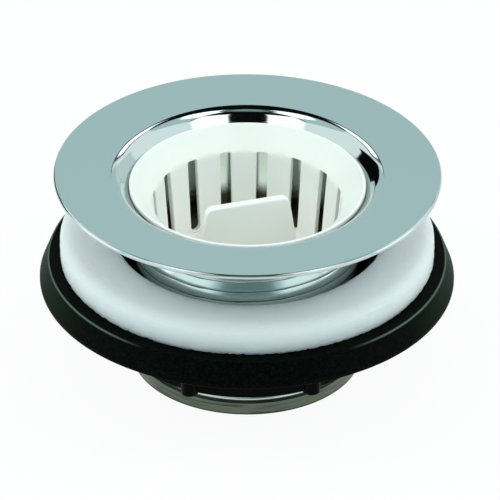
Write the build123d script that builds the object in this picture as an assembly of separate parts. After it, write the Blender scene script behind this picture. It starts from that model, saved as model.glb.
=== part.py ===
"""Basket strainer waste for a sink, standing on its threaded tail.

The frame has its origin at the centre of the tail's lower end, with +Z up along the axis to the flange.
All sizes are in millimetres and all angles in degrees.
"""

import os
from math import cos, radians, sin, tan

from build123d import *

# Waste body: one brass pressing with a G 1 1/2 tail
body_height = 44.0
flange_diameter = 80.0
flange_edge = 1.0
flange_dish = 0.92
thread_diameter = 47.8
tail_wall = 2.4
seat_width = 5.65
seat_angle = 45.0
throat_roll = 3.65
shoulder_wall = 1.6
shoulder_fillet = 1.5
tail_chamfer = 0.2
tail_land = 2.75
runout_width = 0.9
runout_depth = 0.7

# Strainer basket: one moulding that rests in the conical seat
seat_clearance = 0.1
bore_clearance = 1.0
rim_inset = 2.7
rim_edge = 0.85
basket_wall = 1.0
basket_draft = 5.0
basket_depth = 21.4
basket_floor = 1.2
basket_blend = 0.8
slot_count = 16
slot_width = 2.3
slot_foot = 0.75
slot_turn = 2.4

# Finger tab: moulded on the basket's floor, turned a little from the X axis
tab_height = 16.9
tab_top_width = 17.7
tab_base_width = 23.0
tab_thickness = 1.8
tab_corner = 1.6
tab_turn = 17.5

# Foam washer: lies loosely round the tail, just inside the flange's edge
foam_thickness = 6.5
foam_inset = 1.25
foam_gap = 5.3

# Rubber washer: tapers out towards the backnut
rubber_thickness = 5.2
rubber_diameter = 86.0
rubber_taper = 1.7
rubber_land = 0.8
rubber_gap = 1.1
rubber_round = 0.5

# Backnut: a flanged ring with round grip ribs, part way up the tail
tail_showing = 7.0
nut_height = 11.7
thread_clearance = 0.1
nut_wall = 4.5
nut_flange = 2.6
nut_flange_overhang = 6.5
nut_lead_in = 0.8
rib_tip_chamfer = 0.5
rib_count = 7
rib_width = 3.4
rib_stand = 2.3
rib_turn = -62.3

# Radii that the pieces share
flange_radius = flange_diameter / 2
thread_radius = thread_diameter / 2
bore_radius = thread_radius - tail_wall
throat_radius = bore_radius + seat_width

# Levels that the pieces share
flange_top = body_height
throat_top = flange_top - flange_dish
nut_bottom = tail_showing
nut_top = nut_bottom + nut_height
rubber_top = nut_top + rubber_thickness
foam_top = rubber_top + foam_thickness


def seat_height(radius, offset=0.0):
    """Height of the seat cone at a radius, on a cone moved inwards by the offset along its normal."""
    slope = tan(radians(seat_angle))
    return throat_top - (throat_radius - radius) * slope + offset / cos(radians(seat_angle))


def seat_radius(height, offset=0.0):
    """Radius of the seat cone at a height, on a cone moved inwards by the offset along its normal."""
    slope = tan(radians(seat_angle))
    return throat_radius - (throat_top - height) / slope - offset / sin(radians(seat_angle))


def turned(*corners):
    """Revolve a closed profile of (radius, height, rounding) corners about the Z axis."""
    points = [(radius, height) for radius, height, rounding in corners]
    roundings = [rounding for radius, height, rounding in corners]
    outline = FilletPolyline(*points, radius=roundings, close=True)
    return revolve(Plane.XZ * make_face(outline), Axis.Z)


def around(piece, count, start):
    """Copies of a piece, evenly spaced about the Z axis from a start angle."""
    return [Rot(0, 0, start + step * 360 / count) * piece for step in range(count)]


def make_waste_body():
    """Dished flange rolled over into the seat cone, a shoulder, and a tail whose thread runs out in a groove."""
    shoulder_radius = throat_radius + shoulder_wall * tan(radians(seat_angle / 2))
    shoulder_top = throat_top - shoulder_wall
    return turned(
        (bore_radius, 0, 0),
        (thread_radius - tail_chamfer, 0, 0),
        (thread_radius, tail_chamfer, 0),
        (thread_radius, tail_land, 0),
        (thread_radius - runout_depth, tail_land + runout_width / 2, 0),
        (thread_radius, tail_land + runout_width, 0),
        (thread_radius, seat_height(thread_radius, -shoulder_wall), 0),
        (shoulder_radius, shoulder_top, shoulder_fillet),
        (flange_radius, flange_top - flange_edge, 0),
        (flange_radius, flange_top, 0),
        (throat_radius, throat_top, throat_roll),
        (bore_radius, seat_height(bore_radius), 0),
    )


def make_slot(inner_radius, outer_radius, top, bottom):
    """Cutter for one slot on the +X side: flat at the top, round at the bottom."""
    half_width = slot_width / 2
    middle = (top + bottom + half_width) / 2
    straight = Rectangle(slot_width, top - bottom - half_width)
    side = Pos(0, middle) * straight + Pos(0, bottom + half_width) * Circle(half_width)
    face_plane = Plane(origin=(inner_radius, 0, 0), x_dir=(0, 1, 0), z_dir=(1, 0, 0))
    return extrude(face_plane * side, amount=outer_radius - inner_radius)


def make_finger_tab(floor_level):
    """Upright tapered plate with round upper corners, standing on the basket's floor."""
    outline = FilletPolyline(
        (-tab_base_width / 2, 0),
        (tab_base_width / 2, 0),
        (tab_top_width / 2, tab_height),
        (-tab_top_width / 2, tab_height),
        radius=[0, 0, tab_corner, tab_corner],
        close=True,
    )
    plate = extrude(Plane.XZ * make_face(outline), amount=tab_thickness / 2, both=True)
    return Pos(0, 0, floor_level) * Rot(0, 0, tab_turn) * plate


def make_strainer_basket():
    """Cup with a cone that rests in the seat, a slotted wall, a plain floor and the finger tab."""
    inside = seat_clearance + basket_wall
    rim_radius = throat_radius - rim_inset
    rim_top = seat_height(rim_radius, seat_clearance) + rim_edge
    wall_radius = bore_radius - bore_clearance
    wall_top = seat_height(wall_radius, seat_clearance)
    slot_top = seat_height(wall_radius - basket_wall, inside)
    floor_top = rim_top - basket_depth
    floor_bottom = floor_top - basket_floor
    lean = tan(radians(basket_draft))
    foot_radius = wall_radius - (wall_top - floor_bottom) * lean
    floor_radius = wall_radius - basket_wall - (slot_top - floor_top) * lean
    cup = turned(
        (0, floor_bottom, 0),
        (foot_radius, floor_bottom, basket_blend),
        (wall_radius, wall_top, basket_blend),
        (rim_radius, seat_height(rim_radius, seat_clearance), 0),
        (rim_radius, rim_top, 0),
        (seat_radius(rim_top, inside), rim_top, 0),
        (wall_radius - basket_wall, slot_top, basket_blend),
        (floor_radius, floor_top, basket_blend),
        (0, floor_top, 0),
    )
    slot = make_slot(floor_radius / 2, rim_radius, slot_top, floor_top + slot_foot)
    half_pitch = 180 / slot_count
    cup -= around(slot, slot_count, half_pitch + slot_turn)
    return cup + make_finger_tab(floor_top)


def make_foam_washer():
    """Flat ring, cut square from foam sheet."""
    inner = thread_radius + foam_gap
    outer = flange_radius - foam_inset
    return turned(
        (inner, rubber_top, 0),
        (outer, rubber_top, 0),
        (outer, foam_top, 0),
        (inner, foam_top, 0),
    )


def make_rubber_washer():
    """Ring whose outside tapers out towards the backnut."""
    inner = thread_radius + rubber_gap
    outer = rubber_diameter / 2
    return turned(
        (inner, nut_top, 0),
        (outer, nut_top, 0),
        (outer, nut_top + rubber_land, 0),
        (outer - rubber_taper, rubber_top, rubber_round),
        (inner, rubber_top, 0),
    )


def make_backnut():
    """Flanged ring with a plain bore at the thread's crests and round ribs to grip it by."""
    bore = thread_radius + thread_clearance
    boss = bore + nut_wall
    overhang = boss + nut_flange_overhang
    flange_bottom = nut_top - nut_flange
    ring = turned(
        (bore + nut_lead_in, nut_bottom, 0),
        (boss, nut_bottom, 0),
        (boss, flange_bottom, 0),
        (overhang, flange_bottom, 0),
        (overhang, nut_top, 0),
        (bore + nut_lead_in, nut_top, 0),
        (bore, nut_top - nut_lead_in, 0),
        (bore, nut_bottom + nut_lead_in, 0),
    )
    rib_radius = rib_width / 2
    rib_length = flange_bottom - nut_bottom
    rib = Cylinder(rib_radius, rib_length, align=(Align.CENTER, Align.CENTER, Align.MIN))
    rib = chamfer(rib.edges().group_by(Axis.Z)[0], rib_tip_chamfer)
    rib = Pos(boss + rib_stand - rib_radius, 0, nut_bottom) * rib
    return ring + around(rib, rib_count, rib_turn)


os.makedirs("parts", exist_ok=True)
pieces = {
    "waste_body": make_waste_body(),
    "strainer_basket": make_strainer_basket(),
    "foam_washer": make_foam_washer(),
    "rubber_washer": make_rubber_washer(),
    "backnut": make_backnut(),
}
for name, piece in pieces.items():
    export_step(piece, f"parts/{name}.step")
    print(name, round(piece.volume, 1), "mm3")
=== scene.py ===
# %% [markdown]
# # A basket strainer waste, worked out with numpy
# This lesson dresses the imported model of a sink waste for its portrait. The CAD solids give every place and
# size, and each of the five pieces is drawn again here as a fine surface, with the thread, the soft edges and
# the finish that the solids leave out. A finished piece stays at the origin, with its place in its mesh, so
# that it can move with the CAD body that carries it.

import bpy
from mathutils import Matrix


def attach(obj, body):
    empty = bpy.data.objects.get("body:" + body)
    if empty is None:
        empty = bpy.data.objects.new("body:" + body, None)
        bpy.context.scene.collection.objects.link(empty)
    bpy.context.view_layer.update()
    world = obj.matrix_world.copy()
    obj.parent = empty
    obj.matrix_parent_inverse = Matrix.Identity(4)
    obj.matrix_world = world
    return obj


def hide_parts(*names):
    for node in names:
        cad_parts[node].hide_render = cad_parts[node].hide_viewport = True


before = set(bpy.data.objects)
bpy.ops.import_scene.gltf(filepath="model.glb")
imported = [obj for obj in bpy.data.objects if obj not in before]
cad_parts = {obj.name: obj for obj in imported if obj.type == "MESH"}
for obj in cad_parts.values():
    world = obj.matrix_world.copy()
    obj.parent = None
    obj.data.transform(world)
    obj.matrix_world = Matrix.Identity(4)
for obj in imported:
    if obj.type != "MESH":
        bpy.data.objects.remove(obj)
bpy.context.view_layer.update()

# %% [markdown]
# ## From millimetres to a mesh
# The part is drawn in millimetres and Blender works in metres, so one factor turns arrays of points into
# vertices. A surface is a grid of points, and its faces are the quads between neighbours, which numpy can
# number all at once. Points that meet at a seam or a pole are merged, and a closed skin whose volume
# comes out negative is turned over, so that every face points outwards.

# %% Grids of points and their quads
import bmesh
import bpy
import numpy as np

MM = 0.001
MERGE_MM = 0.002


def grid_quads(rows, columns, first=0, close_rows=True, close_columns=True):
    """Corner numbers of a grid's quads, where point (i, j) has the number first + i * columns + j.

    A way of the grid that is closed wraps round from its last line of points to its first.
    """
    i = np.arange(rows if close_rows else rows - 1)[:, None]
    j = np.arange(columns if close_columns else columns - 1)[None, :]
    i_next, j_next = (i + 1) % rows, (j + 1) % columns
    corners = [i * columns + j, i_next * columns + j, i_next * columns + j_next, i * columns + j_next]
    return first + np.stack(np.broadcast_arrays(*corners), axis=-1).reshape(-1, 4)


def make_piece(name, points, quads):
    """Smooth mesh object from points in millimetres and quads, with doubles merged and faces outwards."""
    points = points.reshape(-1, 3) * MM
    mesh = bpy.data.meshes.new(name)
    mesh.vertices.add(len(points))
    mesh.vertices.foreach_set("co", points.ravel())
    mesh.loops.add(quads.size)
    mesh.loops.foreach_set("vertex_index", quads.ravel())
    mesh.polygons.add(len(quads))
    mesh.polygons.foreach_set("loop_start", np.arange(0, quads.size, 4))
    mesh.update(calc_edges=True)
    work = bmesh.new()
    work.from_mesh(mesh)
    bmesh.ops.remove_doubles(work, verts=work.verts, dist=MERGE_MM * MM)
    bmesh.ops.dissolve_degenerate(work, edges=work.edges, dist=MERGE_MM * MM)
    stray = [edge for edge in work.edges if not edge.link_faces]
    bmesh.ops.delete(work, geom=stray, context="EDGES")
    bmesh.ops.recalc_face_normals(work, faces=work.faces)
    if work.calc_volume(signed=True) < 0:
        bmesh.ops.reverse_faces(work, faces=work.faces)
    open_edges = sum(not edge.is_manifold for edge in work.edges)
    volume = work.calc_volume()
    work.to_mesh(mesh)
    work.free()
    mesh.polygons.foreach_set("use_smooth", np.ones(len(mesh.polygons), bool))
    piece = bpy.data.objects.new(name, mesh)
    bpy.context.scene.collection.objects.link(piece)
    print(f"{name}: {len(mesh.polygons)} faces, {open_edges} open edges, {volume / MM**3:.0f} mm3")
    return piece


# %% [markdown]
# ## Turned profiles
# Four of the pieces are turned or moulded round one axis. A drawing of such a piece gives the corners of its
# section and a rounding for each, because no real edge is sharp and the light runs along the small radii.
# Blender could bevel a sharp mesh, but here the arcs go straight into the section, with a guard point on
# each side, so that the flats between them stay flat when they are shaded.

# %% Round the corners of a section and spin it
GUARD_MM, GUARD_SHARE = 0.12, 0.3


def rounded_section(corners, steps=6):
    """Closed section from corners of (radius, height, rounding).

    Between edges that meet at an angle a, an arc of radius p starts p / tan(a / 2) from the corner and has
    its centre p / sin(a / 2) along the bisector. It turns evenly from one tangent point to the other.
    """
    corners = np.asarray(corners, float)
    point, rounding = corners[:, :2], corners[:, 2]
    back = np.roll(point, 1, axis=0) - point
    ahead = np.roll(point, -1, axis=0) - point
    edge = np.linalg.norm(ahead, axis=1)
    back /= np.linalg.norm(back, axis=1)[:, None]
    ahead /= edge[:, None]
    half_angle = np.arccos(np.clip((back * ahead).sum(axis=1), -1, 1)) / 2
    reach = rounding / np.tan(half_angle)
    free = edge - reach - np.roll(reach, -1)
    bisector = back + ahead
    bisector /= np.linalg.norm(bisector, axis=1)[:, None]
    centre = point + bisector * (rounding / np.sin(half_angle))[:, None]
    start, end = point + back * reach[:, None], point + ahead * reach[:, None]
    sweep = (np.pi - 2 * half_angle)[:, None]
    share = np.linspace(0, 1, steps + 1)[None, :]
    weight_start = (np.sin((1 - share) * sweep) / np.sin(sweep))[..., None]
    weight_end = (np.sin(share * sweep) / np.sin(sweep))[..., None]
    arc = centre[:, None] + weight_start * (start - centre)[:, None] + weight_end * (end - centre)[:, None]
    before = start + back * np.minimum(GUARD_MM, GUARD_SHARE * np.roll(free, 1))[:, None]
    after = end + ahead * np.minimum(GUARD_MM, GUARD_SHARE * free)[:, None]
    return np.concatenate([before[:, None], arc, after[:, None]], axis=1).reshape(-1, 2)


def split_long(section, longest):
    """The closed section with each stretch cut into equal steps, none longer than its entry in longest."""
    step = np.roll(section, -1, axis=0) - section
    length = np.linalg.norm(step, axis=1)
    cuts = np.maximum(1, np.ceil(length / longest)).astype(int)
    which = np.repeat(np.arange(len(section)), cuts)
    share = (np.arange(cuts.sum()) - np.repeat(np.cumsum(cuts) - cuts, cuts)) / cuts[which]
    return section[which] + share[:, None] * step[which]


def spin(section, count, start=0.0):
    """Points (r cos t, r sin t, z) for every (r, z) of a section, at count equal angles t from a start."""
    t = start + np.linspace(0, 2 * np.pi, count, endpoint=False)[:, None]
    r, z = section[None, :, 0], section[None, :, 1]
    return np.stack([r * np.cos(t), r * np.sin(t), z + 0 * t], axis=-1)


# %% [markdown]
# ## The waste body and its thread
# The body is one brass piece: a dished flange that rolls over into a conical seat, and a tail with a
# G 1 1/2 pipe thread. A helix could be swept round the tail with a Screw modifier, but a thread is simpler as
# a cut whose place along the tail depends on the angle: going once round moves the groove up by one pitch.
# Each crest leans in above its groove like the tooth of a saw, which turns it towards the light in front. The
# last groove runs out in a ring near the tail's end, where a plain land is left for the trap.

# %% Section of the waste body
BORE_RADIUS, CREST_RADIUS, FLANGE_RADIUS = 21.5, 23.9, 40.0
TAIL_CHAMFER, TAIL_LAND = 0.08, 2.75
RUNOUT_WIDTH, RUNOUT_DEPTH = 0.9, 0.7
SHOULDER_FOOT, SHOULDER_TOP, SHOULDER_RADIUS, SHOULDER_ROLL = 37.57, 41.48, 27.81, 1.5
FLANGE_TOP, FLANGE_EDGE, FLANGE_ROUND = 44.0, 1.0, 0.45
THROAT_RADIUS, THROAT_TOP, THROAT_ROLL = 27.15, 43.08, 3.65
SEAT_FOOT = 37.43
BODY_SECTION = [
    (BORE_RADIUS, 0, 0.15),
    (CREST_RADIUS - TAIL_CHAMFER, 0, 0.03),
    (CREST_RADIUS, TAIL_CHAMFER, 0.03),
    (CREST_RADIUS, TAIL_LAND, 0.1),
    (CREST_RADIUS - RUNOUT_DEPTH, TAIL_LAND + RUNOUT_WIDTH / 2, 0.15),
    (CREST_RADIUS, TAIL_LAND + RUNOUT_WIDTH, 0.1),
    (CREST_RADIUS, SHOULDER_FOOT, 0.5),
    (SHOULDER_RADIUS, SHOULDER_TOP, SHOULDER_ROLL),
    (FLANGE_RADIUS, FLANGE_TOP - FLANGE_EDGE, FLANGE_ROUND),
    (FLANGE_RADIUS, FLANGE_TOP, FLANGE_ROUND),
    (THROAT_RADIUS, THROAT_TOP, THROAT_ROLL),
    (BORE_RADIUS, SEAT_FOOT, 0.4),
]
THREAD_FROM, THREAD_TO = 3.8, 37.0
THREAD_STEP, PLAIN_STEP = 0.145, 6.0
CREST_SLACK = 0.01

section = rounded_section(BODY_SECTION, steps=9)
ends_radius = np.stack([section[:, 0], np.roll(section[:, 0], -1)])
ends_height = np.stack([section[:, 1], np.roll(section[:, 1], -1)])
at_crest = (np.abs(ends_radius - CREST_RADIUS) < CREST_SLACK).all(axis=0)
on_thread = at_crest & (ends_height > THREAD_FROM).all(axis=0)
section = split_long(section, np.where(on_thread, THREAD_STEP, PLAIN_STEP))
print("body section:", len(section), "points")

# %% Cut the thread and make the mesh
PITCH = 2.309
GROOVE_WIDTH, GROOVE_FLANK, GROOVE_DEPTH = 0.75, 0.3, 0.55
CREST_LEAN, LEAN_POWER = 0.9, 1.5
THREAD_FADE = 1.0
BODY_TURNS = 248


def smooth_step(low, high, value):
    """0 below low and 1 above high, with 3 u^2 - 2 u^3 between them for u running from 0 to 1."""
    u = np.clip((value - low) / (high - low), 0, 1)
    return u * u * (3 - 2 * u)


def cut_thread(points):
    """Move crest points inwards by a groove, and by a crest that leans in more and more above the groove.

    At height z and angle t, the share u of a pitch above the last groove is z / pitch - t / turn, less its
    whole number. The crest leans in by lean u^1.5, and the groove is cut where u is near 0 or 1.
    """
    x, y, z = np.moveaxis(points, -1, 0)
    radius = np.hypot(x, y)
    share = (z / PITCH - np.arctan2(y, x) / (2 * np.pi)) % 1
    from_middle = np.minimum(share, 1 - share) * PITCH
    groove = smooth_step(0, GROOVE_FLANK, GROOVE_WIDTH / 2 - from_middle)
    cut = np.maximum(groove * GROOVE_DEPTH, CREST_LEAN * share**LEAN_POWER)
    starts = smooth_step(THREAD_FROM, THREAD_FROM + THREAD_FADE, z)
    stops = smooth_step(THREAD_TO - THREAD_FADE, THREAD_TO, z)
    on_crest = np.abs(radius - CREST_RADIUS) < CREST_SLACK
    shrink = 1 - on_crest * cut * starts * (1 - stops) / radius
    return np.stack([x * shrink, y * shrink, z], axis=-1)


body_points = cut_thread(spin(section, BODY_TURNS))
waste_body = make_piece("plated_waste_body", body_points, grid_quads(BODY_TURNS, len(section)))

# %% [markdown]
# ## The slotted basket
# The basket is one thin moulding: a rim that rests in the seat, a wall with sixteen slots, a plain floor
# and a tab to lift it by. Slots could be cut with a Boolean, which leaves ragged faces round each cut. Here
# the wall is sixteen cells, and each cell is a grid that runs in rings from the cell's border to the slot's
# outline, over a small rounding, through the wall, and out again on the inside. The rings of neighbouring
# cells share their border points, so the wall closes when doubles are merged.

# %% Section of the basket, as radius against height
FLOOR_FOOT, FLOOR_TOP = 18.77, 19.97
RIM_RADIUS, RIM_INNER, RIM_FOOT, RIM_TOP = 24.45, 23.89, 40.52, 41.37
WALL_OUTER, WALL_OUTER_TOP, FOOT_OUTER = 20.5, 36.57, 18.94
WALL_INNER, WALL_INNER_TOP, FOOT_INNER = 19.5, 36.99, 18.01
WALL_BLEND = 0.8
WALL_MIDDLE = 28.0
BASKET_SECTION = [
    (0, FLOOR_FOOT, 0),
    (FOOT_OUTER, FLOOR_FOOT, WALL_BLEND),
    (WALL_OUTER, WALL_OUTER_TOP, WALL_BLEND),
    (RIM_RADIUS, RIM_FOOT, 0.2),
    (RIM_RADIUS, RIM_TOP, 0.25),
    (RIM_INNER, RIM_TOP, 0.22),
    (WALL_INNER, WALL_INNER_TOP, WALL_BLEND),
    (FOOT_INNER, FLOOR_TOP, 0.45),
    (0, FLOOR_TOP, 0),
]

basket_section = rounded_section(BASKET_SECTION)
rim_at = basket_section[:, 1].argmax()
outer_line, inner_line = basket_section[: rim_at + 1], basket_section[rim_at:][::-1]


def outer_radius(height):
    """Radius of the basket's outside at a height, read from its section."""
    return np.interp(height, outer_line[:, 1], outer_line[:, 0])


def inner_radius(height):
    """Radius of the basket's inside at a height, read from its section."""
    return np.interp(height, inner_line[:, 1], inner_line[:, 0])


print("wall at half height:", outer_radius(WALL_MIDDLE).round(2), "to", inner_radius(WALL_MIDDLE).round(2))

# %% Outline of one slot
SLOTS = 16
SLOT_HALF, SLOT_CORNER = 1.15, 0.3
SLOT_FOOT, SLOT_TOP = 20.72, 36.99
ACROSS, ALONG, CORNER_STEPS = 16, 26, 4

foot_turn = np.pi + np.pi * np.arange(ACROSS) / ACROSS
foot_normal = np.stack([np.cos(foot_turn), np.sin(foot_turn)], axis=1)
foot_middle = SLOT_FOOT + SLOT_HALF
up = np.arange(ALONG) / ALONG
side_height = foot_middle + up * (SLOT_TOP - SLOT_CORNER - foot_middle)
corner_turn = np.pi / 2 * np.arange(CORNER_STEPS + 1) / CORNER_STEPS
corner_normal = np.stack([np.cos(corner_turn), np.sin(corner_turn)], axis=1)
corner_middle = np.array([SLOT_HALF - SLOT_CORNER, SLOT_TOP - SLOT_CORNER])
flat = np.linspace(1, -1, ACROSS - 2 * CORNER_STEPS + 1)[1:-1] * corner_middle[0]
mirror = np.array([-1, 1])
left_corner = corner_normal[::-1][:-1] * mirror

slot_base = np.concatenate([
    foot_normal * SLOT_HALF + [0, foot_middle],
    np.stack([np.full(ALONG, SLOT_HALF), side_height], axis=1),
    corner_middle + SLOT_CORNER * corner_normal,
    np.stack([flat, np.full(len(flat), SLOT_TOP)], axis=1),
    corner_middle * mirror + SLOT_CORNER * left_corner,
    np.stack([np.full(ALONG, -SLOT_HALF), side_height[::-1] + side_height[1] - side_height[0]], axis=1),
])
slot_normal = np.concatenate([
    foot_normal,
    np.tile([1.0, 0.0], (ALONG, 1)),
    corner_normal,
    np.tile([0.0, 1.0], (len(flat), 1)),
    left_corner,
    np.tile([-1.0, 0.0], (ALONG, 1)),
])
print("slot outline:", len(slot_base), "points")

# %% Border of a cell, point for point with the slot
CELL_BOTTOM, CELL_TOP = 20.5, 37.75
HALF_CELL = np.pi / SLOTS

across = np.arange(ACROSS) / ACROSS * 2 - 1
height_up = CELL_BOTTOM + up * (CELL_TOP - CELL_BOTTOM)
height_down = CELL_TOP - up * (CELL_TOP - CELL_BOTTOM)
cell_border = np.concatenate([
    np.stack([across * HALF_CELL, np.full(ACROSS, CELL_BOTTOM)], axis=1),
    np.stack([np.full(ALONG, HALF_CELL), height_up], axis=1),
    np.stack([-across * HALF_CELL, np.full(ACROSS, CELL_TOP)], axis=1),
    np.stack([np.full(ALONG, -HALF_CELL), height_down], axis=1),
])
print("cell border:", len(cell_border), "points")

# %% Rings of a cell: over the outside, through the wall and over the inside
SLOT_EDGE, SLOT_MARGIN = 0.2, 0.5
SLOT_TURN = np.radians(2.4)
EDGE_STEPS = 5
TOWARDS_SLOT = np.array([0, 0.35, 0.7, 1])

edge_turn = np.linspace(0, np.pi / 2, EDGE_STEPS)
edge_in, edge_down = SLOT_EDGE * (1 - np.sin(edge_turn)), SLOT_EDGE * (1 - np.cos(edge_turn))
face = np.ones(len(TOWARDS_SLOT))
ring_towards = np.concatenate([TOWARDS_SLOT, np.ones(2 * EDGE_STEPS), TOWARDS_SLOT[::-1]])
ring_margin = np.concatenate([SLOT_MARGIN * face, edge_in, edge_in[::-1], SLOT_MARGIN * face])
ring_depth = np.concatenate([0 * face, edge_down, 1 - edge_down[::-1], face])


def slot_cells():
    """Points of all cells, ring by ring.

    A ring is the slot's outline grown by the ring's margin, and drawn a share of the way to the cell's
    border. Its depth gives its radius, from the wall's outside at 0 to its inside at 1.
    """
    outline = slot_base + ring_margin[:, None, None] * slot_normal
    height = outline[..., 1]
    depth = ring_depth[:, None]
    radius = outer_radius(height) * (1 - depth) + inner_radius(height) * depth
    on_slot = np.stack([np.arcsin(outline[..., 0] / radius), height], axis=-1)
    share = ring_towards[:, None, None]
    place = (1 - share) * cell_border + share * on_slot
    radius = outer_radius(place[..., 1]) * (1 - depth) + inner_radius(place[..., 1]) * depth
    middle = SLOT_TURN + HALF_CELL + 2 * HALF_CELL * np.arange(SLOTS)
    turn = place[None, ..., 0] + middle[:, None, None]
    height = np.broadcast_to(place[..., 1], turn.shape)
    return np.stack([radius * np.cos(turn), radius * np.sin(turn), height], axis=-1)


cells = slot_cells()
print("slotted wall:", SLOTS, "cells of", cells.shape[1], "rings")

# %% The lifting tab
TAB_HEIGHT, TAB_TOP_HALF, TAB_BASE_HALF, TAB_HALF_THICK = 16.9, 8.85, 11.5, 0.9
TAB_CORNER, TAB_EDGE, TAB_FLARE, TAB_ROOT = 1.6, 0.4, 0.9, 0.6
TAB_PLAIN_FROM, TAB_PLAIN_TO, TAB_PLAIN_STEPS = 1.2, 15.1, 6
TAB_BEND_STEPS, TAB_TURN_STEPS = 7, 6
TAB_TURN = np.radians(17.5)


def arc_drop(radius, run):
    """How far a circle's arc falls from its top after a run along it: radius - sqrt(radius^2 - run^2)."""
    return radius - np.sqrt(np.maximum(0, radius**2 - run**2))


def tab_points():
    """Rings of a rounded rectangle, each higher than the last.

    Half width and thickness taper with height, flare out at the floor and draw in at the top, by the drop
    of a circle's arc each time.
    """
    bend = np.linspace(0, np.pi / 2, TAB_BEND_STEPS)
    flare_rise = TAB_FLARE * (1 - np.cos(bend))
    plain_rise = np.linspace(TAB_PLAIN_FROM, TAB_PLAIN_TO, TAB_PLAIN_STEPS)
    corner_rise = TAB_HEIGHT - TAB_CORNER * (1 - np.sin(bend))
    edge_rise = TAB_HEIGHT - TAB_EDGE * (1 - np.sin(bend))
    rise = np.sort(np.concatenate([flare_rise, plain_rise, corner_rise, edge_rise]))
    rise = np.concatenate([[-TAB_ROOT, -TAB_ROOT], rise, [TAB_HEIGHT]])
    flare = arc_drop(TAB_FLARE, np.clip(TAB_FLARE - rise, 0, TAB_FLARE))
    drawn = arc_drop(TAB_CORNER, np.clip(rise - TAB_HEIGHT + TAB_CORNER, 0, TAB_CORNER))
    thinned = arc_drop(TAB_EDGE, np.clip(rise - TAB_HEIGHT + TAB_EDGE, 0, TAB_EDGE))
    half_width = TAB_BASE_HALF + (TAB_TOP_HALF - TAB_BASE_HALF) * rise / TAB_HEIGHT + flare - drawn
    half_thick = TAB_HALF_THICK + flare - thinned
    half_thick[[0, -1]] = 0
    rounding = np.minimum(TAB_EDGE, half_thick)[:, None]
    quarter_turn = np.linspace(0, np.pi / 2, TAB_TURN_STEPS)
    turn = (quarter_turn + np.pi / 2 * np.arange(4)[:, None]).ravel()[None, :]
    quarter = np.repeat(np.arange(4), TAB_TURN_STEPS)[None, :]
    side_x = np.where((quarter == 0) | (quarter == 3), 1, -1)
    side_y = np.where(quarter < 2, 1, -1)
    x = side_x * (half_width[:, None] - rounding) + rounding * np.cos(turn)
    y = side_y * (half_thick[:, None] - rounding) + rounding * np.sin(turn)
    z = np.broadcast_to(rise[:, None] + FLOOR_TOP, x.shape)
    turned_x = x * np.cos(TAB_TURN) - y * np.sin(TAB_TURN)
    turned_y = x * np.sin(TAB_TURN) + y * np.cos(TAB_TURN)
    return np.stack([turned_x, turned_y, z], axis=-1)


tab = tab_points()
print("tab:", tab.shape[0], "rings of", tab.shape[1], "points")

# %% The rim and the floor, and the whole basket
RING_TURNS = SLOTS * ACROSS
CELL_GAP = 0.02

outer_top, inner_top = (outer_radius(CELL_TOP), CELL_TOP), (inner_radius(CELL_TOP), CELL_TOP)
outer_foot, inner_foot = (outer_radius(CELL_BOTTOM), CELL_BOTTOM), (inner_radius(CELL_BOTTOM), CELL_BOTTOM)
from_rim = np.roll(basket_section, -rim_at, axis=0)
above = basket_section[basket_section[:, 1] > CELL_TOP + CELL_GAP]
below = from_rim[from_rim[:, 1] < CELL_BOTTOM - CELL_GAP]
rim_points = spin(np.concatenate([[outer_top], above, [inner_top]]), RING_TURNS, SLOT_TURN)
foot_points = spin(np.concatenate([[inner_foot], below, [outer_foot]]), RING_TURNS, SLOT_TURN)
grids = [(cell, False, True) for cell in cells]
grids += [(rim_points, True, False), (foot_points, True, False), (tab, False, True)]
quads, first = [], 0
for grid, closed_rows, closed_columns in grids:
    quads.append(grid_quads(*grid.shape[:2], first, closed_rows, closed_columns))
    first += grid.size // 3
basket_points = np.concatenate([grid.reshape(-1, 3) for grid, *_ in grids])
strainer_basket = make_piece("slotted_basket", basket_points, np.concatenate(quads))

# %% [markdown]
# ## The two washers
# The white washer is punched from foam sheet, so its walls are square but soft: the edges give a little,
# nothing is quite flat, the hole is squeezed out of round and the lower edge is ragged where the punch tore
# it. A soft-body simulation could press it out of shape, but a few slow waves and a fine seeded roughness,
# added to a spun section, are quicker and come out alike on every run. The black one is moulded rubber with
# a tapered side and a thin lip below, and a plain spun section gives all of it.

# %% Section of the foam washer, and what makes it uneven
FOAM_HOLE, FOAM_RADIUS, FOAM_FOOT, FOAM_TOP = 29.2, 38.75, 23.92, 30.4
FOAM_SECTION = [
    (FOAM_HOLE, FOAM_FOOT, 0.6),
    (FOAM_RADIUS, FOAM_FOOT, 0.9),
    (FOAM_RADIUS, FOAM_TOP, 2.2),
    (FOAM_HOLE, FOAM_TOP, 0.4),
]
FOAM_TURNS, FOAM_STEP = 360, 0.55
LOBES = np.arange(2, 9)[None, :]

foam_section = split_long(rounded_section(FOAM_SECTION), FOAM_STEP)
foam_r, foam_z = foam_section[:, 0], foam_section[:, 1]
chance = np.random.default_rng(11)
turn = np.linspace(0, 2 * np.pi, FOAM_TURNS, endpoint=False)[:, None]
slow = (np.sin(LOBES * turn + chance.uniform(0, 2 * np.pi, LOBES.shape)) / LOBES).sum(axis=1)[:, None]
grain = chance.normal(0, 1, (FOAM_TURNS, len(foam_section)))
grain = (grain + np.roll(grain, 1, 0) + np.roll(grain, 1, 1) + np.roll(grain, -1, 0)) / 2
nicks = np.maximum(0, chance.normal(0, 1, (FOAM_TURNS, 1)))
print("slow waves from", slow.min().round(2), "to", slow.max().round(2))

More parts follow.
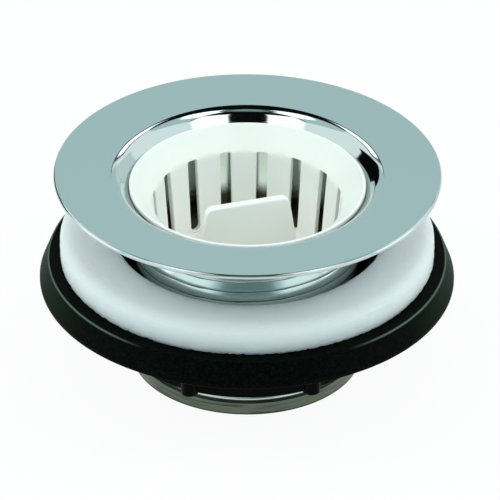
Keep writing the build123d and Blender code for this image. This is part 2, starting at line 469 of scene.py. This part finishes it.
# %% Foam washer
FOAM_WAVE, FOAM_GRAIN, FOAM_NICK = 0.10, 0.035, 0.14
WAVE_FROM, MOST_LIFT = 24.5, 0.2
SQUEEZE_LEFT, SQUEEZE_RIGHT, SQUEEZE_REACH = 1.7, 0.7, 35.0
NICK_INNER, NICK_OUTER, NICK_LOW, NICK_HIGH = 37.0, 38.2, 24.2, 25.4

from_middle = foam_section - foam_section.mean(axis=0)
outwards = from_middle / np.linalg.norm(from_middle, axis=1)[:, None]
lift = FOAM_GRAIN * grain - FOAM_GRAIN
wave = FOAM_WAVE * slow * (foam_z > WAVE_FROM)
near_hole = 1 - smooth_step(FOAM_HOLE, SQUEEZE_REACH, foam_r)
uneven = (SQUEEZE_LEFT - SQUEEZE_RIGHT) * np.cos(turn)
squeeze = np.cos(turn) ** 2 * (SQUEEZE_RIGHT + SQUEEZE_LEFT - uneven) / 2
low_edge = smooth_step(NICK_INNER, NICK_OUTER, foam_r) * (1 - smooth_step(NICK_LOW, NICK_HIGH, foam_z))
radius = foam_r + lift * outwards[:, 0] - near_hole * squeeze
height = foam_z + np.minimum(wave + lift * outwards[:, 1], MOST_LIFT)
height = np.maximum(height, FOAM_FOOT) + FOAM_NICK * nicks * low_edge
foam_points = np.stack([radius * np.cos(turn), radius * np.sin(turn), height], axis=-1)
foam_washer = make_piece("foam_sealing_washer", foam_points, grid_quads(*foam_points.shape[:2]))

# %% Rubber washer
RUBBER_HOLE, RUBBER_RADIUS, RUBBER_TAPER, RUBBER_LAND = 25.0, 43.0, 1.7, 0.8
RUBBER_FOOT, RUBBER_TOP = 18.7, 23.9
RUBBER_SECTION = [
    (RUBBER_HOLE, RUBBER_FOOT, 0.3),
    (RUBBER_RADIUS, RUBBER_FOOT, 0.22),
    (RUBBER_RADIUS, RUBBER_FOOT + RUBBER_LAND, 0.3),
    (RUBBER_RADIUS - RUBBER_TAPER, RUBBER_TOP, 0.5),
    (RUBBER_HOLE, RUBBER_TOP, 0.4),
]
RUBBER_TURNS = 256

rubber_points = spin(rounded_section(RUBBER_SECTION), RUBBER_TURNS)
rubber_washer = make_piece("rubber_sealing_washer", rubber_points, grid_quads(*rubber_points.shape[:2]))

# %% [markdown]
# ## The backnut
# The nut is a moulded ring with a flange above and seven round ribs to grip it by. Ribs could be separate
# cylinders, but a moulding has no joints, so the ribs are part of the outline: near a rib the ring's radius
# swells by half an oval. The angles are packed closely over the ribs and widely between them, and every
# ring of the section uses the same angles, so the whole nut is one closed grid.

# %% Angles and swell of the ribs
RIBS = 7
RIB_STAND, RIB_FULLNESS = 2.3, 0.8
RIB_HALF_ANGLE, RIB_START = np.radians(3.4), np.radians(-62.3)
RIB_STEPS, GAP_STEPS = 19, 14

swing = np.linspace(-np.pi / 2, np.pi / 2, RIB_STEPS)
gap = np.linspace(1, 2 * np.pi / RIBS / RIB_HALF_ANGLE - 1, GAP_STEPS)[1:-1]
one_rib = np.concatenate([np.sin(swing), gap]) * RIB_HALF_ANGLE
one_swell = np.concatenate([np.cos(swing) ** RIB_FULLNESS, np.zeros(len(gap))])
nut_turn = (one_rib + RIB_START + 2 * np.pi / RIBS * np.arange(RIBS)[:, None]).reshape(-1, 1)
swell = RIB_STAND * np.tile(one_swell, RIBS)[:, None]
print("nut outline:", len(nut_turn), "angles")

# %% Backnut
NUT_BORE, NUT_LEAD_IN, BOSS_RADIUS, NUT_RADIUS = 24.0, 0.8, 28.5, 35.0
NUT_FOOT, NUT_BORE_TOP, NUT_FLANGE_FOOT, NUT_TOP = 7.0, 17.9, 16.1, 18.68
NUT_SECTION = [
    (NUT_BORE + NUT_LEAD_IN, NUT_FOOT, 0.2),
    (BOSS_RADIUS, NUT_FOOT, 0.45),
    (BOSS_RADIUS, NUT_FLANGE_FOOT, 0.6),
    (NUT_RADIUS, NUT_FLANGE_FOOT, 0.5),
    (NUT_RADIUS, NUT_TOP, 0.4),
    (NUT_BORE + NUT_LEAD_IN, NUT_TOP, 0.2),
    (NUT_BORE, NUT_BORE_TOP, 0.2),
    (NUT_BORE, NUT_FOOT + NUT_LEAD_IN, 0.2),
]
NUT_STEP = 1.5
SWELL_FROM, SWELL_FULL, SWELL_ENDS = BOSS_RADIUS - 0.6, BOSS_RADIUS - 0.2, BOSS_RADIUS + 0.3
SWELL_BELOW = NUT_FLANGE_FOOT + 0.2

nut_section = split_long(rounded_section(NUT_SECTION), NUT_STEP)
nut_r, nut_z = nut_section[:, 0], nut_section[:, 1]
on_boss = smooth_step(SWELL_FROM, SWELL_FULL, nut_r) * (nut_z < SWELL_BELOW)
on_boss = on_boss * (1 - smooth_step(SWELL_ENDS, BOSS_RADIUS + RIB_STAND, nut_r))
radius = nut_r + on_boss * swell
height = np.broadcast_to(nut_z, radius.shape)
nut_points = np.stack([radius * np.cos(nut_turn), radius * np.sin(nut_turn), height], axis=-1)
backnut = make_piece("ribbed_backnut", nut_points, grid_quads(*nut_points.shape[:2]))

# %% [markdown]
# ## Finishes
# Each finish starts from what the real material is and how its surface was made. Colours are written as
# sRGB hex, as an eye or a picker reads them, and turned to the linear values that Cycles works with. Patterns
# read Object coordinates, which are metres here, so a pattern that repeats every s millimetres has a scale
# of 1000 / s. The node trees could be drawn by hand in the Shader Editor, but written down they can be read
# in order, and their measures have names.

# %% Colours and one way to add a node


def colour(hex_text):
    """Linear RGBA of an sRGB hex colour: c / 12.92 if c is dark, and else ((c + 0.055) / 1.055) ** 2.4."""
    channel = np.array([int(hex_text[k : k + 2], 16) for k in (0, 2, 4)]) / 255
    linear = np.where(channel <= 0.04045, channel / 12.92, ((channel + 0.055) / 1.055) ** 2.4)
    return (*linear.tolist(), 1.0)


def set_inputs(tree, node, inputs):
    """Set each input to a value, or link it to another node's output."""
    for name, value in inputs.items():
        if isinstance(value, bpy.types.NodeSocket):
            tree.links.new(value, node.inputs[name])
        else:
            node.inputs[name].default_value = value


def add_node(tree, kind, settings, inputs):
    """Add a node, set its own settings, then its inputs."""
    node = tree.nodes.new(kind)
    for name, value in settings.items():
        setattr(node, name, value)
    set_inputs(tree, node, inputs)
    return node


def start_material(name):
    """A new material with its node tree and its Principled shader."""
    material = bpy.data.materials.new(name)
    material.use_nodes = True
    tree = material.node_tree
    return material, tree, tree.nodes["Principled BSDF"]


print("mid grey:", [round(c, 3) for c in colour("808080")])

# %% [markdown]
# ## Chromium plate over brass
# The flange and shank are bright chromium plate, which is nearly a mirror with a cool tint. Just below the
# seat the bore is painted a pale plate, a painted light for what shows behind the slots, and deeper down it
# is painted a dark olive brass, a painted shade. On the tail's end the plate is worn, and turned brass comes
# through as a dull olive grey with fine tool marks, darkened there as painted shade under the nut. A mask
# could be painted for that, but height and distance from the axis already tell which part of the body a
# point is on.

# %% Where the plate is worn, and where the bore is painted light and shade
SMOOTH = {"interpolation_type": "SMOOTHSTEP"}
TIMES, LARGER = {"operation": "MULTIPLY"}, {"operation": "MAXIMUM"}
BARE_SHADED_TAIL_MM, BORE_SHADE_MM, BORE_SIDE_MM = (3.8, 3.4), (29.5, 25.5), (22.2, 21.7)


def split_place(tree, place):
    """The x, y and z of a place, and its distance from the upright axis: the root of x^2 + y^2."""
    axes = add_node(tree, "ShaderNodeSeparateXYZ", {}, {"Vector": place}).outputs
    level = add_node(tree, "ShaderNodeVectorMath", TIMES, {0: place, 1: (1, 1, 0)}).outputs["Vector"]
    from_axis = add_node(tree, "ShaderNodeVectorMath", {"operation": "LENGTH"}, {0: level}).outputs["Value"]
    return axes, from_axis


def over_mm(value, start, end):
    """Inputs of a ramp that is 0 where a length is start millimetres and 1 where it is end millimetres."""
    return {"Value": value, "From Min": start * MM, "From Max": end * MM}


chrome, tree, shader = start_material("chromium_plate_on_turned_brass")
place = add_node(tree, "ShaderNodeTexCoord", {}, {}).outputs["Object"]
axes, from_axis = split_place(tree, place)
# The tail's end is bare brass, and its dark tone there is also painted shade under the nut.
bare_shaded_tail = add_node(tree, "ShaderNodeMapRange", SMOOTH, over_mm(axes["Z"], *BARE_SHADED_TAIL_MM)).outputs["Result"]
# Deep in the bore the brass is painted darker, a painted shade, and the plate above it paler, a painted
# light.
bore_shade_depth = add_node(tree, "ShaderNodeMapRange", SMOOTH, over_mm(axes["Z"], *BORE_SHADE_MM)).outputs["Result"]
in_bore = add_node(tree, "ShaderNodeMapRange", SMOOTH, over_mm(from_axis, *BORE_SIDE_MM)).outputs["Result"]
bore_painted_shade = add_node(tree, "ShaderNodeMath", TIMES, {0: bore_shade_depth, 1: in_bore}).outputs["Value"]
wear_and_shade = add_node(tree, "ShaderNodeMath", LARGER, {0: bare_shaded_tail, 1: bore_painted_shade}).outputs["Value"]
print("brass shows below", BARE_SHADED_TAIL_MM[0], "mm, and in the bore below", BORE_SHADE_MM[0], "mm")

# %% Turned brass with stains and tool marks, grime in the marks and a painted shadow at the foot
# The brass tone is darker than bare brass, partly as painted shade under the nut; the bore's brass is painted
# shade.
BRASS, STAINED, GRIME_AND_FOOT_SHADE, BORE_SHADE_BRASS = "4C5C58", "6E745F", "27302C", "3C3F2E"
STAIN_MM = 5.0
TOOL_MARK_MM = 0.5  # real marks are about 0.1 mm apart and are drawn coarser so that they show
MARK_STRETCH = (0.06, 0.06, 1)
GRIMY_MARKS = {"From Min": 0.5, "From Max": 0.68, "To Max": 0.75}
FOOT_SHADE_MM = (0.55, 0.1)
BLEND = {"data_type": "RGBA"}
FIRST, SECOND, MIXED = 6, 7, 2  # a Mix node has sockets for every type of value, and these are for colours


def per_mm(size):
    """Texture scale whose pattern repeats about every size millimetres."""
    return 1 / (size * MM)


stain_inputs = {"Vector": place, "Scale": per_mm(STAIN_MM), "Detail": 4, "Roughness": 0.6}
stain = add_node(tree, "ShaderNodeTexNoise", {}, stain_inputs).outputs["Fac"]
stretched = add_node(tree, "ShaderNodeVectorMath", TIMES, {0: place, 1: MARK_STRETCH}).outputs["Vector"]
mark_inputs = {"Vector": stretched, "Scale": per_mm(TOOL_MARK_MM), "Detail": 2}
marks = add_node(tree, "ShaderNodeTexNoise", {}, mark_inputs).outputs["Fac"]
in_marks = add_node(tree, "ShaderNodeMapRange", {}, {"Value": marks, **GRIMY_MARKS}).outputs["Result"]
# Painted contact shadow: the tail darkens towards its foot on the table.
foot_shade = add_node(tree, "ShaderNodeMapRange", {}, over_mm(axes["Z"], *FOOT_SHADE_MM)).outputs["Result"]
grime_and_foot_shade = add_node(tree, "ShaderNodeMath", LARGER, {0: in_marks, 1: foot_shade}).outputs["Value"]
brass = colour(BRASS)
for share, tint in ((stain, STAINED), (grime_and_foot_shade, GRIME_AND_FOOT_SHADE), (in_bore, BORE_SHADE_BRASS)):
    brass = add_node(
        tree, "ShaderNodeMix", BLEND, {"Factor": share, FIRST: brass, SECOND: colour(tint)}
    ).outputs[MIXED]
print("brass", BRASS, "stained", STAINED, "with marks every", TOOL_MARK_MM, "mm")

# %% Plate, gloss and relief
# The pale plate colour in the bore is a painted light for what shows behind the slots.
PLATE, BORE_PAINTED_LIGHT = "C4D0D0", "EEF9F5"
SHANK_SIDE_MM = (25.5, 24.2)
PLATE_ROUGH, BRASS_ROUGH = {"To Min": 0.06, "To Max": 0.2}, 0.36

plate = add_node(
    tree, "ShaderNodeMix", BLEND, {"Factor": in_bore, FIRST: colour(PLATE), SECOND: colour(BORE_PAINTED_LIGHT)}
).outputs[MIXED]
base = add_node(tree, "ShaderNodeMix", BLEND, {"Factor": wear_and_shade, FIRST: plate, SECOND: brass}).outputs[MIXED]
plate_rough = add_node(
    tree, "ShaderNodeMapRange", SMOOTH, {**over_mm(from_axis, *SHANK_SIDE_MM), **PLATE_ROUGH}
).outputs["Result"]
rough = add_node(
    tree, "ShaderNodeMapRange", {}, {"Value": wear_and_shade, "To Min": plate_rough, "To Max": BRASS_ROUGH}
).outputs["Result"]
mark_depth = add_node(tree, "ShaderNodeMath", TIMES, {0: marks, 1: wear_and_shade}).outputs["Value"]
relief = add_node(
    tree, "ShaderNodeBump", {}, {"Height": mark_depth, "Strength": 0.5, "Distance": 0.06 * MM}
).outputs["Normal"]
set_inputs(tree, shader, {"Metallic": 1, "Base Color": base, "Roughness": rough, "Normal": relief})
print(chrome.name, "plate", PLATE)

# %% [markdown]
# ## White moulded polypropylene
# The basket is moulded in polypropylene, a waxy plastic that lets a little light into its skin. Its colour is
# a soft white with a trace of green, and a faint unevenness in the gloss is all that a small moulding shows.
# Much scattered light would blur the edges of the slots, so only a small share of it is used.

# %% Polypropylene
MOULD_MM = 2.5
BASKET_TONES = ("F6F8F3", "F9F9F5")
BASKET_ROUGH = {"To Min": 0.3, "To Max": 0.44}
BASKET_DEPTH = {"Subsurface Weight": 0.06, "Subsurface Radius": (1, 1, 0.9), "Subsurface Scale": 1.5 * MM}

polypropylene, tree, shader = start_material("white_moulded_polypropylene")
place = add_node(tree, "ShaderNodeTexCoord", {}, {}).outputs["Object"]
flow_inputs = {"Vector": place, "Scale": per_mm(MOULD_MM), "Detail": 3}
flow = add_node(tree, "ShaderNodeTexNoise", {}, flow_inputs).outputs["Fac"]
low, high = (colour(tone) for tone in BASKET_TONES)
base = add_node(tree, "ShaderNodeMix", BLEND, {"Factor": flow, FIRST: low, SECOND: high}).outputs[MIXED]
rough = add_node(tree, "ShaderNodeMapRange", {}, {"Value": flow, **BASKET_ROUGH}).outputs["Result"]
relief = add_node(
    tree, "ShaderNodeBump", {}, {"Height": flow, "Strength": 0.08, "Distance": 0.05 * MM}
).outputs["Normal"]
set_inputs(tree, shader, {"Base Color": base, "Roughness": rough, "Normal": relief})
set_inputs(tree, shader, {"IOR": 1.49, **BASKET_DEPTH})
print(polypropylene.name, BASKET_TONES)

# %% [markdown]
# ## Closed-cell foam
# Polyethylene foam is matt and full of small cells, which show as a fine pitting where it is cut, and light
# spreads a long way through it, so its shaded parts aren't dark. A plain matt white would look like plaster.
# Here all of the light is scattered under the skin, over several millimetres.

# %% Foam
CELL_MM = 0.55  # real cells are about 0.3 mm and are drawn coarser so that they show
PATCH_MM = 6.0
FOAM_TONES = ("F2F8F5", "F8FBF9")
FOAM_DEPTH = {"Subsurface Weight": 1, "Subsurface Radius": (1, 1, 1), "Subsurface Scale": 9 * MM}
FOAM_MATT = {"Roughness": 0.85, "Specular IOR Level": 0.25}

foam, tree, shader = start_material("closed_cell_polyethylene_foam")
place = add_node(tree, "ShaderNodeTexCoord", {}, {}).outputs["Object"]
pit_inputs = {"Vector": place, "Scale": per_mm(CELL_MM)}
pits = add_node(tree, "ShaderNodeTexVoronoi", {}, pit_inputs).outputs["Distance"]
patch_inputs = {"Vector": place, "Scale": per_mm(PATCH_MM), "Detail": 3}
patches = add_node(tree, "ShaderNodeTexNoise", {}, patch_inputs).outputs["Fac"]
low, high = (colour(tone) for tone in FOAM_TONES)
base = add_node(tree, "ShaderNodeMix", BLEND, {"Factor": patches, FIRST: low, SECOND: high}).outputs[MIXED]
relief = add_node(
    tree, "ShaderNodeBump", {}, {"Height": pits, "Strength": 0.3, "Distance": 0.12 * MM}
).outputs["Normal"]
set_inputs(tree, shader, {"Base Color": base, "Normal": relief, **FOAM_MATT, **FOAM_DEPTH})
print(foam.name, "cells of", CELL_MM, "mm")

# %% [markdown]
# ## Nitrile rubber
# Nitrile rubber is black and matt, with a fine grain from its mould and a bloom of grey-green dust. At the
# sides a green sheen is painted on its tapered face, and a pale line along its upper edge is a painted
# highlight. That line could be a thin strip of mesh, but it has no height, so it is a tone, kept to the
# rounded edge by height and distance from the axis.

# %% Rubber grain, with a painted highlight on the edge and a painted sheen on the sides
GRAIN_MM = 0.5
BLACK, BLOOM, EDGE_PAINTED_HIGHLIGHT, SIDE_PAINTED_SHEEN = "020303", "0C1510", "57655C", "0A1C12"
BLOOM_GRAIN = {"From Min": 0.4, "From Max": 0.8}
EDGE_TOP_MM, EDGE_SIDE_MM, EDGE_ENDS_MM = (23.6, 23.72), (40.95, 41.08), (20, 30)
# Where the green sheen is painted on the tapered side.
SHEEN_ENDS_MM, SHEEN_SIDE_MM = (33, 41), (41.2, 41.6)

rubber, tree, shader = start_material("moulded_nitrile_rubber")
place = add_node(tree, "ShaderNodeTexCoord", {}, {}).outputs["Object"]
axes, from_axis = split_place(tree, place)
aside = add_node(tree, "ShaderNodeMath", {"operation": "ABSOLUTE"}, {0: axes["X"]}).outputs["Value"]
grain_inputs = {"Vector": place, "Scale": per_mm(GRAIN_MM), "Detail": 3, "Roughness": 0.7}
grain = add_node(tree, "ShaderNodeTexNoise", {}, grain_inputs).outputs["Fac"]
bloom = add_node(tree, "ShaderNodeMapRange", SMOOTH, {"Value": grain, **BLOOM_GRAIN}).outputs["Result"]
# Painted highlight along the upper edge at the sides, and painted sheen on the tapered sides.
painted_highlight_limits = [(axes["Z"], EDGE_TOP_MM), (from_axis, EDGE_SIDE_MM), (aside, EDGE_ENDS_MM)]
painted_sheen_limits = [(aside, SHEEN_ENDS_MM), (from_axis, SHEEN_SIDE_MM)]
layers = [(bloom, BLOOM)]
for limits, tint in ((painted_highlight_limits, EDGE_PAINTED_HIGHLIGHT), (painted_sheen_limits, SIDE_PAINTED_SHEEN)):
    share = 1.0
    for length, ends in limits:
        step = add_node(tree, "ShaderNodeMapRange", SMOOTH, over_mm(length, *ends)).outputs["Result"]
        share = add_node(tree, "ShaderNodeMath", TIMES, {0: share, 1: step}).outputs["Value"]
    layers.append((share, tint))
# The pale edge is a painted highlight.
print("rubber edge worn from", EDGE_ENDS_MM[0], "mm to the side")

# %% Rubber tone, gloss and skin
RUBBER_ROUGH = {"To Min": 0.36, "To Max": 0.62}
RUBBER_SHINE = {"IOR": 1.52, "Specular IOR Level": 0.02}

base = colour(BLACK)
for share, tint in layers:
    base = add_node(
        tree, "ShaderNodeMix", BLEND, {"Factor": share, FIRST: base, SECOND: colour(tint)}
    ).outputs[MIXED]
rough = add_node(tree, "ShaderNodeMapRange", {}, {"Value": grain, **RUBBER_ROUGH}).outputs["Result"]
relief = add_node(
    tree, "ShaderNodeBump", {}, {"Height": grain, "Strength": 0.2, "Distance": 0.1 * MM}
).outputs["Normal"]
set_inputs(tree, shader, {"Base Color": base, "Roughness": rough, "Normal": relief, **RUBBER_SHINE})
print(rubber.name, "grain of", GRAIN_MM, "mm")

# %% [markdown]
# ## Black moulded nylon
# The nut is moulded in black nylon, whose satin skin is even and dark. It could have scratches and mould
# lines, but in the shade under the rubber it shows little more than its outline, so a slow pattern in the
# gloss and a trace of relief are enough.

# %% Black moulding
SATIN_MM = 0.9
NUT_TONES = ("010202", "040505")
NUT_ROUGH = {"To Min": 0.32, "To Max": 0.5}
NUT_SHINE = {"IOR": 1.53, "Specular IOR Level": 0.03}

black_plastic, tree, shader = start_material("black_moulded_nylon")
place = add_node(tree, "ShaderNodeTexCoord", {}, {}).outputs["Object"]
satin_inputs = {"Vector": place, "Scale": per_mm(SATIN_MM), "Detail": 3}
satin = add_node(tree, "ShaderNodeTexNoise", {}, satin_inputs).outputs["Fac"]
low, high = (colour(tone) for tone in NUT_TONES)
base = add_node(tree, "ShaderNodeMix", BLEND, {"Factor": satin, FIRST: low, SECOND: high}).outputs[MIXED]
rough = add_node(tree, "ShaderNodeMapRange", {}, {"Value": satin, **NUT_ROUGH}).outputs["Result"]
relief = add_node(
    tree, "ShaderNodeBump", {}, {"Height": satin, "Strength": 0.12, "Distance": 0.08 * MM}
).outputs["Normal"]
set_inputs(tree, shader, {"Base Color": base, "Roughness": rough, "Normal": relief, **NUT_SHINE})
print(black_plastic.name, NUT_TONES)

# %% [markdown]
# ## Each piece takes its place
# A piece rides on the CAD body that carries it, stands in for its CAD node, which is hidden, and takes its
# finish as a material. Parents could be set by hand in the Outliner, but here one loop sets them all.

# %% Ride, replace and finish
dressed = [
    (waste_body, "waste", "waste_body", "chromed_brass", chrome),
    (strainer_basket, "waste", "strainer_basket", "white_moulding", polypropylene),
    (foam_washer, "washers", "foam_washer", "white_foam", foam),
    (rubber_washer, "washers", "rubber_washer", "black_rubber", rubber),
    (backnut, "nut", "backnut", "black_moulding", black_plastic),
]
for piece, body, node, slot, material in dressed:
    piece.data.materials.append(material)
    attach(piece, body)
    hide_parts(node)
print("dressed:", [piece.name for piece, *_ in dressed])

# %% [markdown]
# ## A white table and a studio for chrome to see
# Chrome has almost no colour of its own: it shows the room. Camera rays see plain white. Mirror rays see a
# dark room with cards and panels hung in it, and each has its work: the card behind makes the flange an even
# grey, the walls light the seat, the panels overhead and in front shine in the dark rolled throat, and the
# cards in front fill the shank. Real cards could stand round the part, but a world that depends on the kind
# of ray keeps them out of the picture. Everything else gets a soft light that is cool near the table. The
# table is white for the camera too, and keeps part of the object's shadow.

# %% The table
FLOOR_RADIUS, FLOOR_CORNERS = 3.0, 64
PAPER = {"Base Color": colour("F4F5F4"), "Roughness": 0.9, "Specular IOR Level": 0}
FLOOR_SHOWN_WHITE = 0.94
WHITE = (1, 1, 1, 1)

turn = np.linspace(0, 2 * np.pi, FLOOR_CORNERS, endpoint=False)
rim = np.stack([FLOOR_RADIUS * np.cos(turn), FLOOR_RADIUS * np.sin(turn), 0 * turn], axis=1)
floor_mesh = bpy.data.meshes.new("white_table")
floor_mesh.from_pydata(rim.tolist(), [], [list(range(FLOOR_CORNERS))])
floor = bpy.data.objects.new("white_table", floor_mesh)
bpy.context.scene.collection.objects.link(floor)
table, tree, shader = start_material("white_table_paper")
set_inputs(tree, shader, PAPER)
ray = add_node(tree, "ShaderNodeLightPath", {}, {}).outputs
seen = ray["Is Camera Ray"]
for kind in ("Is Glossy Ray", "Is Transmission Ray"):
    seen = add_node(tree, "ShaderNodeMath", LARGER, {0: seen, 1: ray[kind]}).outputs["Value"]
shown = add_node(tree, "ShaderNodeMath", TIMES, {0: seen, 1: FLOOR_SHOWN_WHITE}).outputs["Value"]
glow = add_node(tree, "ShaderNodeEmission", {}, {"Color": WHITE, "Strength": 1}).outputs["Emission"]
surface = add_node(
    tree, "ShaderNodeMixShader", {}, {"Fac": shown, 1: shader.outputs["BSDF"], 2: glow}
).outputs["Shader"]
set_inputs(tree, tree.nodes["Material Output"], {"Surface": surface})
floor_mesh.materials.append(table)
print("table:", FLOOR_RADIUS, "m")

# %% Rise and bearing of a heading
EDGE_DEGREES = 0.8

world = bpy.data.worlds.new("studio")
bpy.context.scene.world = world
world.use_nodes = True
tree = world.node_tree
tree.nodes.clear()
heading = add_node(tree, "ShaderNodeTexCoord", {}, {}).outputs["Generated"]
axes = add_node(tree, "ShaderNodeSeparateXYZ", {}, {"Vector": heading}).outputs
rise = add_node(tree, "ShaderNodeMath", {"operation": "ARCSINE"}, {0: axes["Z"]}).outputs["Value"]
bearing = add_node(
    tree, "ShaderNodeMath", {"operation": "ARCTAN2"}, {0: axes["X"], 1: axes["Y"]}
).outputs["Value"]
aside = add_node(tree, "ShaderNodeMath", {"operation": "ABSOLUTE"}, {0: bearing}).outputs["Value"]


def band(value, low, high, soft=EDGE_DEGREES):
    """1 between low and high degrees and 0 outside, with soft degrees of change on each side of an end."""
    inside = 1.0
    for begin, end in ((low - soft, low + soft), (high + soft, high - soft)):
        ends = {"From Min": np.radians(begin), "From Max": np.radians(end)}
        step = add_node(tree, "ShaderNodeMapRange", SMOOTH, {"Value": value, **ends}).outputs["Result"]
        inside = add_node(tree, "ShaderNodeMath", TIMES, {0: inside, 1: step}).outputs["Value"]
    return inside


print("bearing 0 is straight behind the object, and rise 0 is level with it")

# %% Panels and cards that mirror rays see, each hung over those before it
DARK, DIM, CEILING, CARD = colour("080A0A"), colour("6E8888"), colour("93AAAB"), colour("CAE2E3")
WALL_LIGHT, GREY_LIGHT, PALE_LIGHT = (1.08, 1.16, 1.15, 1), (0.76, 0.88, 0.88, 1), (1.1, 1.3, 1.3, 1)
PANEL_LIGHT = (2.0, 2.0, 2.0, 1)
BELOW, ABOVE = -120, 200  # past the ends of rise and bearing, so that a patch has no edge there
PATCHES = [
    ("white walls, low", WALL_LIGHT, aside, (13, 104), (BELOW, 33)),
    ("grey walls, low", GREY_LIGHT, aside, (13, 56), (BELOW, 26)),
    ("bright walls aside", PANEL_LIGHT, aside, (74, 104), (BELOW, 24)),
    ("card in front", CARD, aside, (104, ABOVE), (BELOW, 43)),
    ("pale cards", PALE_LIGHT, aside, (108, 146), (BELOW, 30)),
    ("dim front", DIM, aside, (154, ABOVE), (BELOW, 33)),
    ("white walls, high", WALL_LIGHT, aside, (36, 150), (30, 52)),
    ("card behind", CARD, aside, (BELOW, 10.5), (BELOW, 43)),
    ("card behind, low", CARD, aside, (BELOW, 26), (BELOW, 30)),
    ("upright panels", PANEL_LIGHT, aside, (15, 32), (35, 50)),
    ("ceiling cards", CARD, aside, (36, 112), (51, 64)),
    ("ceiling panels", PANEL_LIGHT, aside, (36, 112), (64, 79)),
    ("ceiling light", CEILING, aside, (BELOW, ABOVE), (82, ABOVE, 4)),
    ("front panels", PANEL_LIGHT, aside, (116, 156, 2), (48, 64, 2)),
    ("black flag", DARK, bearing, (-60, -26), (BELOW, 30)),
]

room = DARK
for name, light, side, side_range, rise_range in PATCHES:
    crossing = {0: band(side, *side_range), 1: band(rise, *rise_range)}
    mask = add_node(tree, "ShaderNodeMath", TIMES, crossing).outputs["Value"]
    room = add_node(tree, "ShaderNodeMix", BLEND, {"Factor": mask, FIRST: room, SECOND: light}).outputs[MIXED]
    print(name, "bearing", side_range, "rise", rise_range)

# %% Soft light for everything else, and white for the camera
SOFT_LOW, SOFT_HIGH = "86BEC4", "F1F5F0"
SOFT_RISE, SOFT_SPREAD = 35, 30

overhead = band(rise, SOFT_RISE, ABOVE, SOFT_SPREAD)
soft = add_node(
    tree, "ShaderNodeMix", BLEND, {"Factor": overhead, FIRST: colour(SOFT_LOW), SECOND: colour(SOFT_HIGH)}
).outputs[MIXED]
ray = add_node(tree, "ShaderNodeLightPath", {}, {}).outputs
unseen = add_node(
    tree, "ShaderNodeMix", BLEND, {"Factor": ray["Is Glossy Ray"], FIRST: soft, SECOND: room}
).outputs[MIXED]
direct = add_node(
    tree, "ShaderNodeMath", LARGER, {0: ray["Is Camera Ray"], 1: ray["Is Transmission Ray"]}
).outputs["Value"]
sky = add_node(tree, "ShaderNodeMix", BLEND, {"Factor": direct, FIRST: unseen, SECOND: WHITE}).outputs[MIXED]
background = add_node(tree, "ShaderNodeBackground", {}, {"Color": sky, "Strength": 1}).outputs["Background"]
add_node(tree, "ShaderNodeOutputWorld", {}, {"Surface": background})
print("soft light from", SOFT_LOW, "at the table to", SOFT_HIGH, "overhead")

# %% [markdown]
# ## Three lamps
# Two large lamps stand at the left and the right, so the foam is bright at its sides and grey in the middle,
# where the flange shades it. A weak one overhead reaches the basket's floor. A sun could light the part too,
# but its shadows would be hard. The lamps are kept at a plain level: a colour renders about as it is written.

# %% Lamps
from mathutils import Vector

LAMP_DISTANCE, LAMP_SIZE = 0.8, 0.5
LAMP_TARGET = Vector((0, 0, 0.03))
# Name, degrees round from the front, degrees up, and watts
LAMPS = [("left_lamp", -84, 35, 1.72), ("right_lamp", 84, 35, 1.72), ("top_lamp", 180, 86, 0.5)]

for name, bearing_deg, rise_deg, power in LAMPS:
    light = bpy.data.lights.new(name, "AREA")
    light.shape = "DISK"
    light.size = LAMP_SIZE
    light.energy = power
    lamp = bpy.data.objects.new(name, light)
    bearing_angle, rise_angle = np.radians(bearing_deg), np.radians(rise_deg)
    level = np.cos(rise_angle)
    heading = Vector((np.sin(bearing_angle) * level, -np.cos(bearing_angle) * level, np.sin(rise_angle)))
    lamp.location = LAMP_TARGET + LAMP_DISTANCE * heading
    lamp.rotation_euler = heading.to_track_quat("Z", "Y").to_euler()
    lamp.visible_camera = False
    lamp.visible_glossy = False
    bpy.context.scene.collection.objects.link(lamp)
    print(name, bearing_deg, "degrees from the front,", rise_deg, "up,", power, "W")

# %% [markdown]
# ## The camera
# The photograph was taken with a long lens from about thirty-one degrees above the table. The flange's
# ellipses give that angle, and the place of their centre in the picture gives the aim. A small roll levels
# the flange as the photograph has it. A Track To constraint could aim the camera, but it would leave no say
# in the roll, so the three axes are worked out here.

# %% Camera
from mathutils import Matrix

CAMERA_DISTANCE = 1.5
CAMERA_RISE, ROLL = np.radians(31.446), np.radians(0.37)
FOCAL_PIXELS, PICTURE_PIXELS, SENSOR_MM = 7286.0, 500.0, 36.0
FLANGE_CENTRE = Vector((0, 0, FLANGE_TOP * MM))
CENTRE_PIXEL = (247.07, 172.39)

view_axis = Vector((0, -np.cos(CAMERA_RISE), np.sin(CAMERA_RISE)))
side_axis = Vector((1, 0, 0))
top_axis = view_axis.cross(side_axis)
right = (PICTURE_PIXELS / 2 - CENTRE_PIXEL[0]) / FOCAL_PIXELS
down = (PICTURE_PIXELS / 2 - CENTRE_PIXEL[1]) / FOCAL_PIXELS
look = (-view_axis + right * side_axis - down * top_axis).normalized()
side_axis = (side_axis * np.cos(ROLL) + top_axis * np.sin(ROLL)).normalized()
side_axis = (side_axis - side_axis.dot(look) * look).normalized()
top_axis = side_axis.cross(look)
camera_data = bpy.data.cameras.new("long_lens")
camera_data.sensor_width = SENSOR_MM
camera_data.lens = FOCAL_PIXELS / PICTURE_PIXELS * SENSOR_MM
camera = bpy.data.objects.new("long_lens", camera_data)
turned = Matrix((side_axis, top_axis, -look)).transposed().to_4x4()
camera.matrix_world = Matrix.Translation(FLANGE_CENTRE + CAMERA_DISTANCE * view_axis) @ turned
bpy.context.scene.collection.objects.link(camera)
bpy.context.scene.camera = camera
bpy.context.scene.view_settings.view_transform = "Standard"
print("lens", round(camera_data.lens, 1), "mm")
